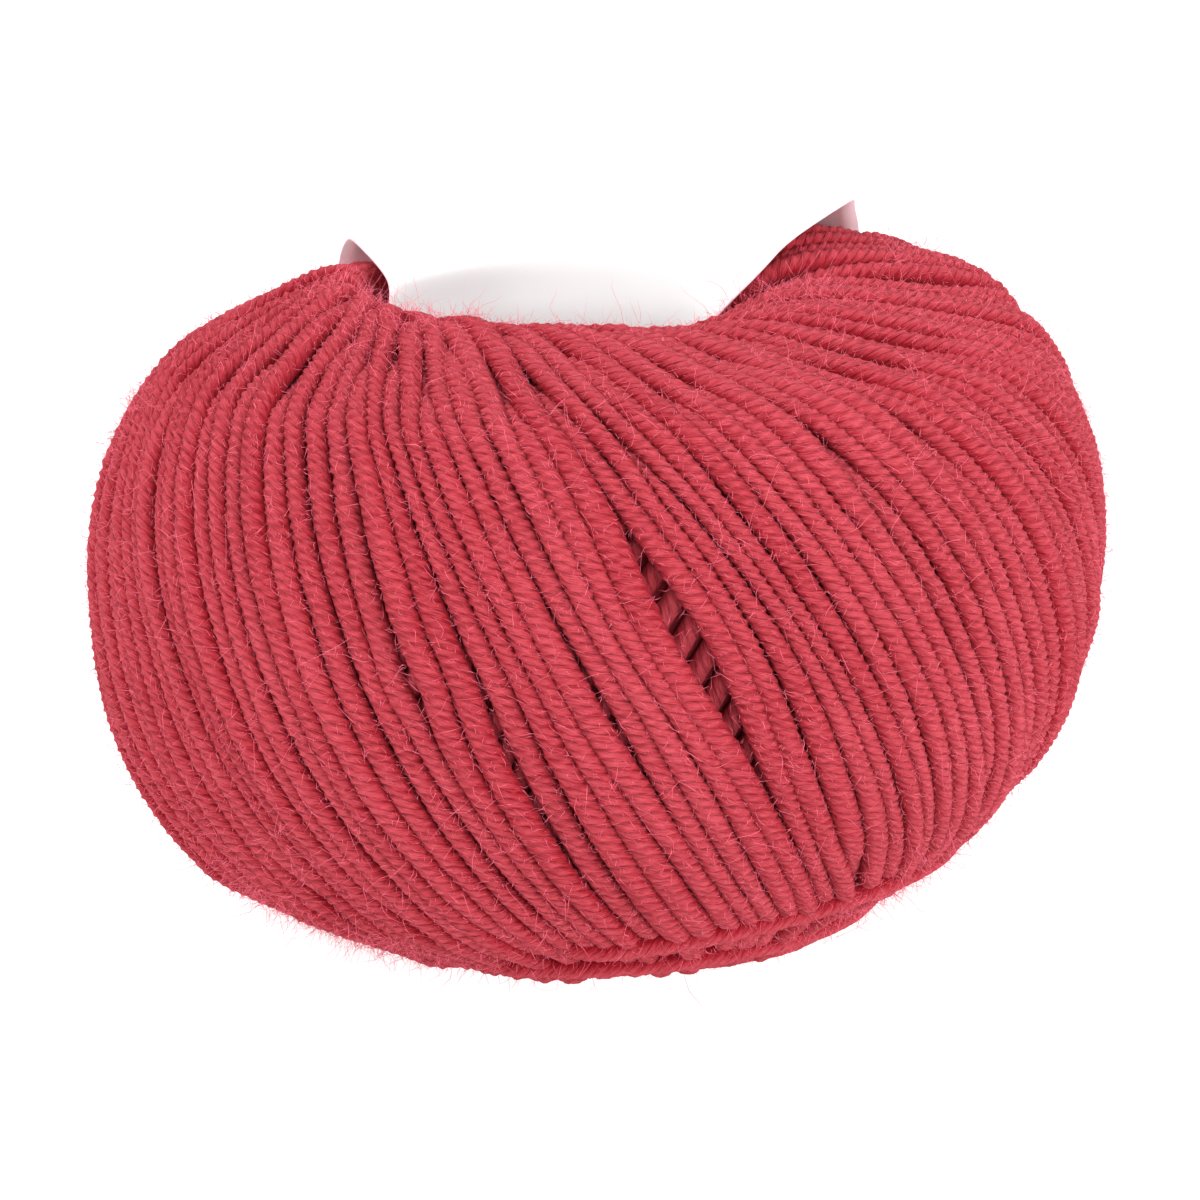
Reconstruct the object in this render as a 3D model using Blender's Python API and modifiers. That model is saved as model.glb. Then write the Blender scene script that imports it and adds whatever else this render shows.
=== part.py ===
"""A machine-wound ball of wool yarn with its paper band.

The ball is a low, wide ring of yarn with a hole down its middle. Each turn of the
yarn is a tilted great circle that passes the top hole on one side and the bottom
hole on the other, so every strand that shows slants the same way. The band is a
paper ring that runs up through the hole and round the far half of the ball.
The ball stands on the pressed rim of its bottom hole, with the floor at z = 0.
"""

import math

import bpy
import numpy as np

# ---- The ball: sizes in metres, angles in degrees -------------------------------
BALL_HALF_WIDTH = 0.0518  # along X
BALL_HALF_DEPTH = 0.0389  # along Y
BALL_HALF_HEIGHT = 0.0380  # of the full form, before the holes are sunk in
BALL_CENTRE = (0.0006, 0.0004, 0.0347)
UPPER_FULLNESS = 2.30  # 2 is an ellipsoid, more is squarer
LOWER_FULLNESS = 2.09
SLOPE_RIGHT = 0.079  # the ball's right end rides higher than its left
AXIS_LEAN_RIGHT = 2.2  # of the winding axis
AXIS_LEAN_FRONT = 2.3

WINDING_TILT = 22.4  # of each turn from the winding axis
RIM_ANGLE = 40.0  # from the winding axis, where the surface starts to sink
THROAT_ANGLE = 24.0  # where the funnel ends in the hole's wall
FUNNEL_DEPTH = 0.0124
FUNNEL_POWER = 2.2
THROAT_BLEND_ANGLE = 52.0  # inside it the strands are drawn to the throat's oval
THROAT_HALF_LENGTH = 0.0170  # along X
THROAT_HALF_WIDTH = 0.0120  # along Y
TOP_THROAT_X = -0.0062
BOTTOM_THROAT_X = -0.0020

# Soft swellings and dents: where each one is, how far it spreads, and its height
LUMP_COLUMNS = ("azimuth", "latitude", "spread", "height")
LUMPS = (
    (-175, 35, 28, 0.0024),
    (-80, 55, 18, 0.0009),
    (-5, -20, 30, -0.0011),
    (-150, 52, 16, 0.0013),
    (-95, -55, 20, 0.0034),
    (0, 15, 25, -0.0011),
    (180, 0, 25, -0.0013),
    (-40, 55, 18, -0.0010),
    (38, 50, 13, 0.0036),
    (30, 52, 8, 0.0013),
    (174, 55, 12, 0.0015),
    (90, 52, 24, -0.0022),
    (55, 15, 30, 0.0012),
    (135, -10, 30, -0.0010),
    (90, -4, 34, -0.0030),
)

# The bottom rim settles level on the floor
SETTLE_START, SETTLE_END = 126.0, 150.0  # polar angles
SETTLE_RIGHT, SETTLE_BACK = 0.077, 0.162  # slopes taken out
SETTLE_FROM = (-0.031, -0.022)  # the place on the rim that stays
BAND_ROOM = 0.00145  # the yarn stays this far off the floor over the band
BAND_ROOM_START, BAND_ROOM_END = -0.001, 0.004  # along Y
BAND_ROOM_HALF = 0.029  # along X
BAND_ROOM_EDGE = 0.003

# ---- Main twists, raised on the wound form --------------------------------------
RIDGES = 59  # each is a pair of neighbouring strands
RIDGE_SECTION = (-1.0, 0.5, 0.5)  # a groove and the two shoulders of the ridge, as shares of the relief
RIDGE_RELIEF = 0.00080  # depth of a groove below the mean surface, where the strands are widest apart
STRAND_ROWS = 28
WALL_ROWS = 4

# ---- The paper band --------------------------------------------------------------
PAPER_THICKNESS = 0.0010
PAPER_STEPS = 52
PAPER_ACROSS = 10
PAPER_SLOPE = 0.066  # across the top, towards the right

# One row for each station of the band's loop, from the middle of the hole up, over
# the far rim, down the back and under the bottom rim. y and centre_x are from the
# ball's centre and z from the floor, at the middle of the sheet. The edges come
# forward by bow and stand up by rise.
# curl is 1 where the sheet is bent to a half oval, more where it goes further round,
# and 0 where it is nearly straight.
PAPER_COLUMNS = ("y", "z", "centre_x", "half_width", "bow", "rise", "curl", "slope")
PAPER_LOOP = (
    (0.0106, 0.0347, -0.0042, 0.0147, 0.0138, 0.0000, 1.2, 0.0),
    (0.0106, 0.0475, -0.0055, 0.0147, 0.0136, 0.0000, 1.2, 0.0),
    (0.0105, 0.0575, -0.0058, 0.0145, 0.0138, 0.0000, 1.2, 0.2),
    (0.0113, 0.0627, -0.0053, 0.0155, 0.0136, 0.0005, 1.1, 0.7),
    (0.0127, 0.0674, -0.0026, 0.0184, 0.0124, 0.0010, 0.9, 1.8),
    (0.0176, 0.0687, 0.0000, 0.0242, 0.0086, 0.0014, 0.8, 1.3),
    (0.0238, 0.0657, -0.0004, 0.0253, 0.0042, 0.0016, 0.4, 1.1),
    (0.0322, 0.0572, -0.0004, 0.0254, 0.0014, 0.0000, 0.2, 0.8),
    (0.0374, 0.0440, -0.0004, 0.0255, 0.0014, 0.0000, 0.2, 0.5),
    (0.0378, 0.0315, -0.0004, 0.0255, 0.0014, 0.0000, 0.2, 0.3),
    (0.0352, 0.0186, -0.0004, 0.0255, 0.0014, 0.0000, 0.2, 0.1),
    (0.0298, 0.0088, -0.0004, 0.0254, 0.0010, 0.0000, 0.1, 0.0),
    (0.0231, 0.0017, -0.0003, 0.0252, 0.0016, 0.0000, 0.2, 0.0),
    (0.0165, 0.0004, -0.0003, 0.0236, 0.0050, 0.0000, 0.5, 0.0),
    (0.0126, 0.0001, -0.0013, 0.0178, 0.0084, 0.0000, 0.9, 0.0),
    (0.0099, 0.0030, -0.0022, 0.0145, 0.0130, 0.0000, 1.2, 0.0),
    (0.0102, 0.0090, -0.0024, 0.0144, 0.0134, 0.0000, 1.2, 0.0),
    (0.0105, 0.0195, -0.0030, 0.0146, 0.0136, 0.0000, 1.2, 0.0),
)

WOOL_COLOUR = (0.49, 0.050, 0.070, 1.0)
PAPER_COLOUR = (0.90, 0.89, 0.88, 1.0)


def smooth_step(value):
    """0 below 0, 1 above 1, and an S-curve between."""
    value = np.clip(value, 0.0, 1.0)
    return value * value * (3.0 - 2.0 * value)


def direction(azimuth, latitude):
    """Unit vector at an azimuth and latitude in degrees."""
    azimuth, latitude = math.radians(azimuth), math.radians(latitude)
    flat = math.cos(latitude)
    return np.array((flat * math.cos(azimuth), flat * math.sin(azimuth), math.sin(latitude)))


def leaned(unit):
    """Unit vectors about the winding axis, turned to the ball's own upright."""
    right, front = math.radians(AXIS_LEAN_RIGHT), math.radians(AXIS_LEAN_FRONT)
    about_y = np.array(
        ((math.cos(right), 0, math.sin(right)), (0, 1, 0), (-math.sin(right), 0, math.cos(right)))
    )
    about_x = np.array(
        ((1, 0, 0), (0, math.cos(front), -math.sin(front)), (0, math.sin(front), math.cos(front)))
    )
    return unit @ (about_y @ about_x).T


def swelling(unit):
    """Height of the soft lumps at each unit vector, as a share of the ball's radius."""
    total = np.zeros(unit.shape[:-1])
    for row in LUMPS:
        lump = dict(zip(LUMP_COLUMNS, row))
        apart = 1.0 - unit @ direction(lump["azimuth"], lump["latitude"])
        total += lump["height"] / 0.045 * np.exp(-apart / math.radians(lump["spread"]) ** 2)
    return total


def funnel_share(polar):
    """0 outside the rim of the nearer hole, and 1 at its throat."""
    from_axis = np.degrees(np.minimum(polar, math.pi - polar))
    return np.clip((RIM_ANGLE - from_axis) / (RIM_ANGLE - THROAT_ANGLE), 0.0, 1.0)


def ball_surface(polar, azimuth, relief=0.0):
    """Points on the wound form, pressed onto the floor.

    A unit vector is scaled to a squared-off ellipsoid, drawn in to the throat's oval
    near each hole, sunk into the funnel there, and sloped up to the right.
    polar and azimuth are in radians about the winding axis.
    """
    sine, cosine = np.sin(polar), np.cos(polar)
    unit = leaned(np.stack((sine * np.cos(azimuth), sine * np.sin(azimuth), cosine), -1))
    flat, height = np.hypot(unit[..., 0], unit[..., 1]), unit[..., 2]
    power = np.where(height > 0, UPPER_FULLNESS, LOWER_FULLNESS)
    radius = (flat**power + np.abs(height) ** power) ** (-1.0 / power)
    radius = radius + swelling(unit) + relief / BALL_HALF_HEIGHT
    x = BALL_HALF_WIDTH * unit[..., 0] * radius
    y = BALL_HALF_DEPTH * unit[..., 1] * radius
    z = BALL_HALF_HEIGHT * height * radius

    from_axis = np.degrees(np.minimum(polar, math.pi - polar))
    drawn = smooth_step((THROAT_BLEND_ANGLE - from_axis) / (THROAT_BLEND_ANGLE - THROAT_ANGLE))
    throat_x = np.where(cosine > 0, TOP_THROAT_X, BOTTOM_THROAT_X)
    x = x + drawn * (throat_x + THROAT_HALF_LENGTH * np.cos(azimuth) - x)
    y = y + drawn * (THROAT_HALF_WIDTH * np.sin(azimuth) - y)

    z = z + SLOPE_RIGHT * x
    z = z - np.sign(cosine) * FUNNEL_DEPTH * funnel_share(polar) ** FUNNEL_POWER
    settled = smooth_step((np.degrees(polar) - SETTLE_START) / (SETTLE_END - SETTLE_START))
    fall = SETTLE_RIGHT * (x - SETTLE_FROM[0]) + SETTLE_BACK * (y - SETTLE_FROM[1])
    z = z - settled * fall
    points = np.stack((x, y, z), -1) + np.array(BALL_CENTRE)
    points[..., 2] = np.maximum(points[..., 2], floor_under(points[..., 0], points[..., 1]))
    return points


def floor_under(x, y):
    """Height of the surface that the yarn is pressed on, which is the band at the back."""
    behind = smooth_step((y - BAND_ROOM_START) / (BAND_ROOM_END - BAND_ROOM_START))
    beside = smooth_step((BAND_ROOM_HALF - np.abs(x)) / BAND_ROOM_EDGE)
    return BAND_ROOM * behind * beside


def strand_rows():
    """Polar angles of the rows, even steps along a strand from throat to throat."""
    tilt = math.cos(math.radians(WINDING_TILT))
    furthest = math.asin(math.cos(math.radians(THROAT_ANGLE)) / tilt)
    along = np.linspace(furthest, -furthest, STRAND_ROWS + 1)
    return np.arccos(np.sin(along) * tilt)


def strand_turn(polar):
    """How far a tilted great circle has swung about the axis at each polar angle."""
    return np.arcsin(np.clip(math.tan(math.radians(WINDING_TILT)) / np.tan(polar), -1.0, 1.0))


def strand_spread(polar):
    """Spacing of neighbouring strands at each polar angle, as a share of the widest."""
    sine = math.sin(math.radians(WINDING_TILT))
    return np.sqrt(np.maximum(np.sin(polar) ** 2 - sine**2, 0.0) / (1.0 - sine**2))


def grid_mesh(name, points, wrap_rows, wrap_columns):
    """A mesh of four-sided faces over a grid of points, each starting at its shorter diagonal."""
    rows, columns = points.shape[:2]
    index = np.arange(rows * columns).reshape(rows, columns)
    if wrap_rows:
        index = np.concatenate((index, index[:1]), 0)
    if wrap_columns:
        index = np.concatenate((index, index[:, :1]), 1)
    corners = (index[:-1, :-1], index[1:, :-1], index[1:, 1:], index[:-1, 1:])
    faces = np.stack(corners, -1).reshape(-1, 4)
    points = points.reshape(-1, 3)
    diagonals = np.linalg.norm(points[faces[:, :2]] - points[faces[:, 2:]], axis=2)
    faces = np.where(diagonals[:, :1] <= diagonals[:, 1:], faces, np.roll(faces, -1, axis=1))
    mesh = bpy.data.meshes.new(name)
    mesh.from_pydata(points.tolist(), [], faces.tolist())
    mesh.validate()
    mesh.shade_smooth()
    return mesh


def yarn_ball():
    """The wound ring of yarn, one closed body with a hole through it."""
    columns = RIDGES * len(RIDGE_SECTION)
    start = np.arange(columns) * (2.0 * math.pi / columns)
    polar = strand_rows()[:, None]
    azimuth = start[None, :] - strand_turn(polar)
    uneven = 1.0 + 0.15 * np.sin(3.0 * start) + 0.15 * np.sin(11.0 * start + 1.0)
    relief = RIDGE_RELIEF * (np.tile(RIDGE_SECTION, RIDGES) * uneven)[None, :] * strand_spread(polar)
    outside = ball_surface(np.broadcast_to(polar, azimuth.shape), azimuth, relief)

    # The wall of the hole joins the bottom throat to the top one
    along = np.linspace(0.0, 1.0, WALL_ROWS + 2)[1:-1, None, None]
    bottom, top = outside[-1], outside[0]
    turn = float(strand_turn(polar[0])[0])
    angle = start[None, :] + turn * (1.0 - 2.0 * along[..., 0])
    centre_x = BOTTOM_THROAT_X + (TOP_THROAT_X - BOTTOM_THROAT_X) * along[..., 0]
    wall = np.empty((WALL_ROWS, columns, 3))
    wall[..., 0] = centre_x + THROAT_HALF_LENGTH * np.cos(angle) + BALL_CENTRE[0]
    wall[..., 1] = THROAT_HALF_WIDTH * np.sin(angle) + BALL_CENTRE[1]
    wall[..., 2] = bottom[None, :, 2] + (top[None, :, 2] - bottom[None, :, 2]) * along[..., 0]
    return grid_mesh("yarn_ball", np.concatenate((outside, wall), 0), True, True)


def closed_curve(values, count):
    """Catmull-Rom curve through the rows of a closed loop, sampled evenly by row."""
    values = np.asarray(values, float)
    place = np.arange(count) * (len(values) / count)
    whole = np.floor(place).astype(int)
    t = (place - whole)[:, None]
    before, start, end, after = (values[(whole + k) % len(values)] for k in (-1, 0, 1, 2))
    return 0.5 * (
        2 * start
        + (end - before) * t
        + (2 * before - 5 * start + 4 * end - after) * t**2
        + (3 * start - before - 3 * end + after) * t**3
    )


def paper_surface(steps, across):
    """Points of the band's middle surface, one row for each step round its loop.

    Across the band x runs as the sine of a bend angle and y as its cosine, so the
    sheet goes from nearly straight, where the bend is small, to a half oval.
    """
    stations = dict(zip(PAPER_COLUMNS, closed_curve(PAPER_LOOP, steps).T[..., None]))
    across = np.linspace(-1.0, 1.0, across + 1)[None, :]
    bend = 0.5 * math.pi * np.maximum(stations["curl"], 0.02)
    x = stations["half_width"] * np.sin(bend * across) / np.sin(bend)
    forward = (1.0 - np.cos(bend * across)) / (1.0 - np.cos(bend))
    y = stations["y"] - stations["bow"] * forward
    z = stations["z"] + PAPER_SLOPE * stations["slope"] * x + stations["rise"] * across**2
    return np.stack((x + stations["centre_x"] + BALL_CENTRE[0], y + BALL_CENTRE[1], z), -1)


def paper_band():
    """The band, a sheet of even thickness closed into a ring."""
    points = paper_surface(PAPER_STEPS, PAPER_ACROSS)
    points[..., 2] = np.maximum(points[..., 2], 0.5 * PAPER_THICKNESS)
    return grid_mesh("paper_band", points, True, False)


def material(name, colour, roughness):
    made = bpy.data.materials.new(name)
    made.use_nodes = True
    shader = made.node_tree.nodes["Principled BSDF"]
    shader.inputs["Base Color"].default_value = colour
    shader.inputs["Roughness"].default_value = roughness
    shader.inputs["Metallic"].default_value = 0.0
    return made


def place(mesh, made, collection):
    mesh.materials.append(made)
    placed = bpy.data.objects.new(mesh.name, mesh)
    collection.objects.link(placed)
    return placed


def main():
    for old in list(bpy.data.objects):
        bpy.data.objects.remove(old, do_unlink=True)
    collection = bpy.data.collections.new("ball_of_yarn")
    bpy.context.scene.collection.children.link(collection)
    place(yarn_ball(), material("wool", WOOL_COLOUR, 0.9), collection)
    band = place(paper_band(), material("paper", PAPER_COLOUR, 0.7), collection)
    thickness = band.modifiers.new("thickness", "SOLIDIFY")
    thickness.thickness = PAPER_THICKNESS
    thickness.offset = 0.0
    thickness.use_even_offset = True


main()
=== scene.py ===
"""The looks of a machine-wound ball of wool yarn with its plain paper band.

The yarn is built as strands. Each strand of the outer layer is a tilted great circle
laid on the wound form, from the hole's top throat over the ball's side to the bottom
throat. Strands of the layer below slant the other way and show in the gaps. Where the
strands crowd together, some of them sink under their neighbours.
"""

import math

import bpy
import numpy as np
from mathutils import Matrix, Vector


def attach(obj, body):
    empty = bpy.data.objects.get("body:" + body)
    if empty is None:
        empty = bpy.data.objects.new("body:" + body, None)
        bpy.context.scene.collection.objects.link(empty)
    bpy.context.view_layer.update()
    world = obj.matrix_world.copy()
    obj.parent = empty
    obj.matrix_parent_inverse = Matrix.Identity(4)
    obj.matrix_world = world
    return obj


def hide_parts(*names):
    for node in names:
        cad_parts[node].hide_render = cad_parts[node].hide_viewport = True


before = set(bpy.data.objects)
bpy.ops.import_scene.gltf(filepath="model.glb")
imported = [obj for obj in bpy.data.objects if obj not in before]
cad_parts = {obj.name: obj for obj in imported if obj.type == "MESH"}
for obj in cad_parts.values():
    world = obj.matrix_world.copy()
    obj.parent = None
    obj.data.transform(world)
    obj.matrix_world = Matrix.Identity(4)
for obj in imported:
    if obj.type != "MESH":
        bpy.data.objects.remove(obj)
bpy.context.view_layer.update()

bl_info = {
    "name": "Ball of yarn",
    "version": (1, 0, 0),
    "blender": (4, 5, 0),
    "location": "3D View > Sidebar > Yarn",
    "description": "Builds a wound ball of wool yarn with its paper band, strand by strand",
    "category": "Add Mesh",
}

# ---- The wound form, as the solids have it: metres, and degrees
BALL_HALF_WIDTH = 0.0518
BALL_HALF_DEPTH = 0.0389
BALL_HALF_HEIGHT = 0.0380
BALL_CENTRE = (0.0006, 0.0004, 0.0347)
UPPER_FULLNESS = 2.30
LOWER_FULLNESS = 2.09
SLOPE_RIGHT = 0.079
AXIS_LEAN_RIGHT = 2.2
AXIS_LEAN_FRONT = 2.3
WINDING_TILT = 22.4
RIM_ANGLE = 40.0
THROAT_ANGLE = 24.0
FUNNEL_DEPTH = 0.0124
FUNNEL_POWER = 2.2
THROAT_BLEND_ANGLE = 52.0
THROAT_HALF_LENGTH = 0.0170
THROAT_HALF_WIDTH = 0.0120
TOP_THROAT_X = -0.0062
BOTTOM_THROAT_X = -0.0020
LUMP_COLUMNS = ("azimuth", "latitude", "spread", "height")
LUMPS = (
    (-175, 35, 28, 0.0024),
    (-80, 55, 18, 0.0009),
    (-5, -20, 30, -0.0011),
    (-150, 52, 16, 0.0013),
    (-95, -55, 20, 0.0034),
    (0, 15, 25, -0.0011),
    (180, 0, 25, -0.0013),
    (-40, 55, 18, -0.0010),
    (38, 50, 13, 0.0036),
    (30, 52, 8, 0.0013),
    (174, 55, 12, 0.0015),
    (90, 52, 24, -0.0022),
    (55, 15, 30, 0.0012),
    (135, -10, 30, -0.0010),
    (90, -4, 34, -0.0030),
)
SETTLE_START, SETTLE_END = 126.0, 150.0
SETTLE_RIGHT, SETTLE_BACK = 0.077, 0.162
SETTLE_FROM = (-0.031, -0.022)
BAND_ROOM = 0.00145
BAND_ROOM_START, BAND_ROOM_END = -0.001, 0.004
BAND_ROOM_HALF = 0.029
BAND_ROOM_EDGE = 0.003

# ---- The band's loop, as the solids have it
PAPER_SLOPE = 0.066
PAPER_COLUMNS = ("y", "z", "centre_x", "half_width", "bow", "rise", "curl", "slope")
PAPER_LOOP = (
    (0.0106, 0.0347, -0.0042, 0.0147, 0.0138, 0.0000, 1.2, 0.0),
    (0.0106, 0.0475, -0.0055, 0.0147, 0.0136, 0.0000, 1.2, 0.0),
    (0.0105, 0.0575, -0.0058, 0.0145, 0.0138, 0.0000, 1.2, 0.2),
    (0.0113, 0.0627, -0.0053, 0.0155, 0.0136, 0.0005, 1.1, 0.7),
    (0.0127, 0.0674, -0.0026, 0.0184, 0.0124, 0.0010, 0.9, 1.8),
    (0.0176, 0.0687, 0.0000, 0.0242, 0.0086, 0.0014, 0.8, 1.3),
    (0.0238, 0.0657, -0.0004, 0.0253, 0.0042, 0.0016, 0.4, 1.1),
    (0.0322, 0.0572, -0.0004, 0.0254, 0.0014, 0.0000, 0.2, 0.8),
    (0.0374, 0.0440, -0.0004, 0.0255, 0.0014, 0.0000, 0.2, 0.5),
    (0.0378, 0.0315, -0.0004, 0.0255, 0.0014, 0.0000, 0.2, 0.3),
    (0.0352, 0.0186, -0.0004, 0.0255, 0.0014, 0.0000, 0.2, 0.1),
    (0.0298, 0.0088, -0.0004, 0.0254, 0.0010, 0.0000, 0.1, 0.0),
    (0.0231, 0.0017, -0.0003, 0.0252, 0.0016, 0.0000, 0.2, 0.0),
    (0.0165, 0.0004, -0.0003, 0.0236, 0.0050, 0.0000, 0.5, 0.0),
    (0.0126, 0.0001, -0.0013, 0.0178, 0.0084, 0.0000, 0.9, 0.0),
    (0.0099, 0.0030, -0.0022, 0.0145, 0.0130, 0.0000, 1.2, 0.0),
    (0.0102, 0.0090, -0.0024, 0.0144, 0.0134, 0.0000, 1.2, 0.0),
    (0.0105, 0.0195, -0.0030, 0.0146, 0.0136, 0.0000, 1.2, 0.0),
)
CAD_PAPER_THICKNESS = 0.0010
FLARE_COLUMNS = ("row", "rows", "left", "rise_left", "right", "sink_right")
FLARES = (  # where the band's edges stand out past the solid, or sink into the wool
    (3.8, 0.9, 0.0000, 0.0000, 0.0000, 0.0019),
    (5.0, 0.8, -0.0006, 0.0004, -0.0002, 0.0000),
    (5.1, 0.5, 0.0000, 0.0000, 0.0000, -0.0006),
    (6.7, 0.9, -0.0018, 0.0000, 0.0014, 0.0000),
)

# ---- How the strands lie: metres, and degrees
SEED = 7
ANY_PHASE = 6.28  # radians, about a whole turn
RINGS = 136  # along an outer strand
FURTHEST_SWING = 96.0
THROAT_MARGIN = 0.3
PLY_SECTION = (0.95, 1.0, 1.0)  # radii across one ply: the groove, then its two shoulders
PLY_UNEVENNESS = 0.0528  # how far a ply swells and shrinks, as a share of its radius
TONE_SPREAD = 0.05
# Painted shade: a strand's sides are made darker, as shade falls in the valleys between strands;
# the second number caps it
PAINTED_VALLEY_SHADE, PAINTED_SHADE_CAP = 0.85, 1.2  # how much darker a strand's sides are, and at most
WIDTH_SHARE = 0.555  # half a strand's width, as a share of the spacing
SQUEEZED_HALF_WIDTH, WIDEST_HALF_WIDTH = 0.00088, 0.00150
LEAST_HEIGHT, GREATEST_HEIGHT = 0.97, 1.15  # of a strand's section, in free half thicknesses
WAVE_DEPTH, WAVES = 0.00018, 3.0  # how far a strand rises and falls, and how often
DEPTH_SPREAD, LEAST_DEPTH, GREATEST_DEPTH = 0.00030, -0.0005, 0.0006
NARROWER_WITH_DEPTH = 180.0
FREE_SPACING = 0.0021  # strands closer than this start to go under each other
CROWDING_POWER, SINKING_RANGE, SINKING_START = 1.3, 0.28, 0.35
SUNK_DEPTH, SUNK_PUSH = 0.0017, 0.25
FLOOR_ROOM = 1.10  # height of a strand's middle over the floor, in half thicknesses
WANDER_COLUMNS = ("around", "along", "size")
WANDER = ((5, 1.6, 0.26), (9, 2.3, 0.16), (14, 3.1, 0.10), (23, 3.7, 0.06))
OWN_WANDER, OWN_SHIFT = ((2.2, 0.06), (6.0, 0.04)), 0.03  # how often and how far
GAP_COLUMNS = ("after", "swing", "length", "opening")
GAPS = ((92, 12.0, 17.0, 1.15), (88, 1.0, 16.0, 0.50), (82, 5.0, 5.0, 0.40))
GAP_FADING = 2.5  # strands

# ---- Strands round the foot: degrees, metres and radians
FOOT_RINGS = 130
FOOT_COLUMNS = ("polar", "start", "end", "sway", "phase", "lift")
FOOT = (
    (132.0, -104.0, 12.0, 2.0, 0.4, 0.0006),
    (137.0, -122.0, 22.0, 1.5, 2.0, 0.0009),
    (142.0, -130.0, 16.0, 1.5, 5.2, 0.0006),
)
FOOT_END_SHARE, FOOT_END_DEPTH = 0.14, 0.0034  # how a strand dives under the others

# ---- The layer below, the core and the hole's lining
CROSSING_RINGS, CROSSING_COLUMNS, CROSSING_SWING = 40, 7, 74.0
CROSSING_DEPTH, CROSSING_SPREAD, CROSSING_FLOOR = 0.0033, 0.00012, 0.0035
CROSSING_WANDER = 0.7  # as a share of the outer strands'
CORE_ROWS, CORE_COLUMNS, CORE_WALL_ROWS = 49, 96, 7
CORE_DEPTH, CORE_FLOOR = 0.0042, 0.0040
THROAT_END = math.radians(THROAT_ANGLE + 2.0)  # the core's and the lining's
LINING_STRANDS, LINING_RINGS, LINING_COLUMNS = 20, 72, 8
LINING_DEPTH, LINING_SPREAD, LINING_LEVEL_SPREAD = 0.00125, 0.00015, 0.0003
LINING_TILTS = (0.0004, 0.0011)

# ---- Loose fibres
LONGEST_FIBRE = 0.0075
FIBRE_TRIES = 8
FIBRE_ROOT = 0.92  # where a fibre starts, as a share of the strand's radius
FIBRE_TIP = 0.55  # thickness near its tip, as a share of that near its root
BARE_WEIGHT = 0.25  # chance of a fibre away from the tufts
FIBRE_CURVE = (0.80, 0.50, 0.35, 0.10)  # straight, bent, swept and waved shares of its length
FIBRE_WAVES = (4.0, 9.0)
FUZZ_COLUMNS = (
    "name", "share", "points", "length", "variation", "along", "out", "lift", "thickest", "tufts"
)
FUZZ = (
    ("fibres_near", 0.49, 3, 0.60, 0.35, 1.0, 0.50, -0.8, 0.000030, 0.0),
    ("fibres_far", 0.47, 3, 0.85, 0.45, 0.7, 0.80, 0.1, 0.000032, 1.0),
    ("fibres_long", 0.04, 6, 2.20, 0.35, 0.8, 0.60, 0.6, 0.000028, 1.0),
)
TUFT_COLUMNS = ("place", "spread", "gain")
TUFTS = (
    ((-0.0461, -0.0017, 0.0517), 0.004, 3.0),
    ((-0.0228, -0.0187, 0.0054), 0.006, 2.0),
    ((-0.0311, -0.0183, 0.0086), 0.004, 2.0),
    ((0.0285, -0.0161, 0.0099), 0.005, 2.0),
    ((-0.0175, -0.0080, 0.0640), 0.007, 3.0),
    ((0.0190, -0.0020, 0.0700), 0.006, 2.5),
    ((0.0270, 0.0060, 0.0715), 0.005, 2.0),
)
FUZZ_OVER_FLOOR = 0.0012  # no fibre starts lower
FUZZ_BESIDE_BAND, FUZZ_BEFORE_BAND = 0.0275, 0.001  # nor nearer the middle and further back

# ---- The band as a sheet
BAND_STEPS, BAND_ACROSS = 180, 28
BAND_INWARD = 0.0003  # how far the thin sheet lies inside the solid's middle
FLARE_START = 0.5  # where an edge starts to leave its place, as a share of the half width

# ---- The wool's tone, from 0 for its dark colour to 1 for its light one
MIDDLING = (0.3, 0.7)  # the range in which most of a noise lies
# The crowns' range is painted: painted shade in the grooves between plies, painted light on the
# plies' crowns
PLY_PAINTED_SHADING, FINE_TONES = (-0.30, 0.14), (0.44, 0.94)
COARSE_TONES, PATCH_TONES = (-0.08, 0.08), (-0.05, 0.05)

# ---- Light and camera
FLOOR_HALF_SIDE, FLOOR_POINTS = 1.5, 9
WORLD_LIGHT, FLOOR_LIGHT, FLOOR_ALBEDO = 0.82, 1.0, 0.30
LAMP_COLUMNS = ("name", "place", "size", "power")
LAMPS = (
    ("front_left", (-0.9, -0.4, 0.8), 0.4, 8.0),
    ("front_right", (1.1, -0.6, 0.25), 0.8, 10.5),
    ("front_low", (0.4, -1.1, 0.06), 0.8, 7.0),
    ("above", (0.1, -0.3, 1.4), 1.2, 6.0),
    ("behind", (0.2, 1.2, 0.7), 1.0, 0.5),
)
LAMP_TARGET = (0.0, 0.0, 0.03)
CAMERA_TARGET = (BALL_CENTRE[0] - 0.00047, BALL_CENTRE[1], BALL_CENTRE[2] - 0.00114)
CAMERA_DISTANCE, CAMERA_ELEVATION, SEEN_WIDTH = 0.518, 15.66, 0.120
SENSOR = 36.0  # millimetres


# ---- Shapes
def smooth_step(value):
    """0 below 0, 1 above 1, and an S-curve between."""
    value = np.clip(value, 0.0, 1.0)
    return value * value * (3.0 - 2.0 * value)


def direction(azimuth, latitude):
    """Unit vector at an azimuth and latitude in degrees."""
    azimuth, latitude = math.radians(azimuth), math.radians(latitude)
    flat = math.cos(latitude)
    return np.array((flat * math.cos(azimuth), flat * math.sin(azimuth), math.sin(latitude)))


def rows_of(table, columns):
    """A table's rows, each as a dict by column."""
    return [dict(zip(columns, row)) for row in table]


def normalised(vectors):
    """Vectors scaled to length 1."""
    return vectors / np.maximum(np.linalg.norm(vectors, axis=-1, keepdims=True), 1e-12)


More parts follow.
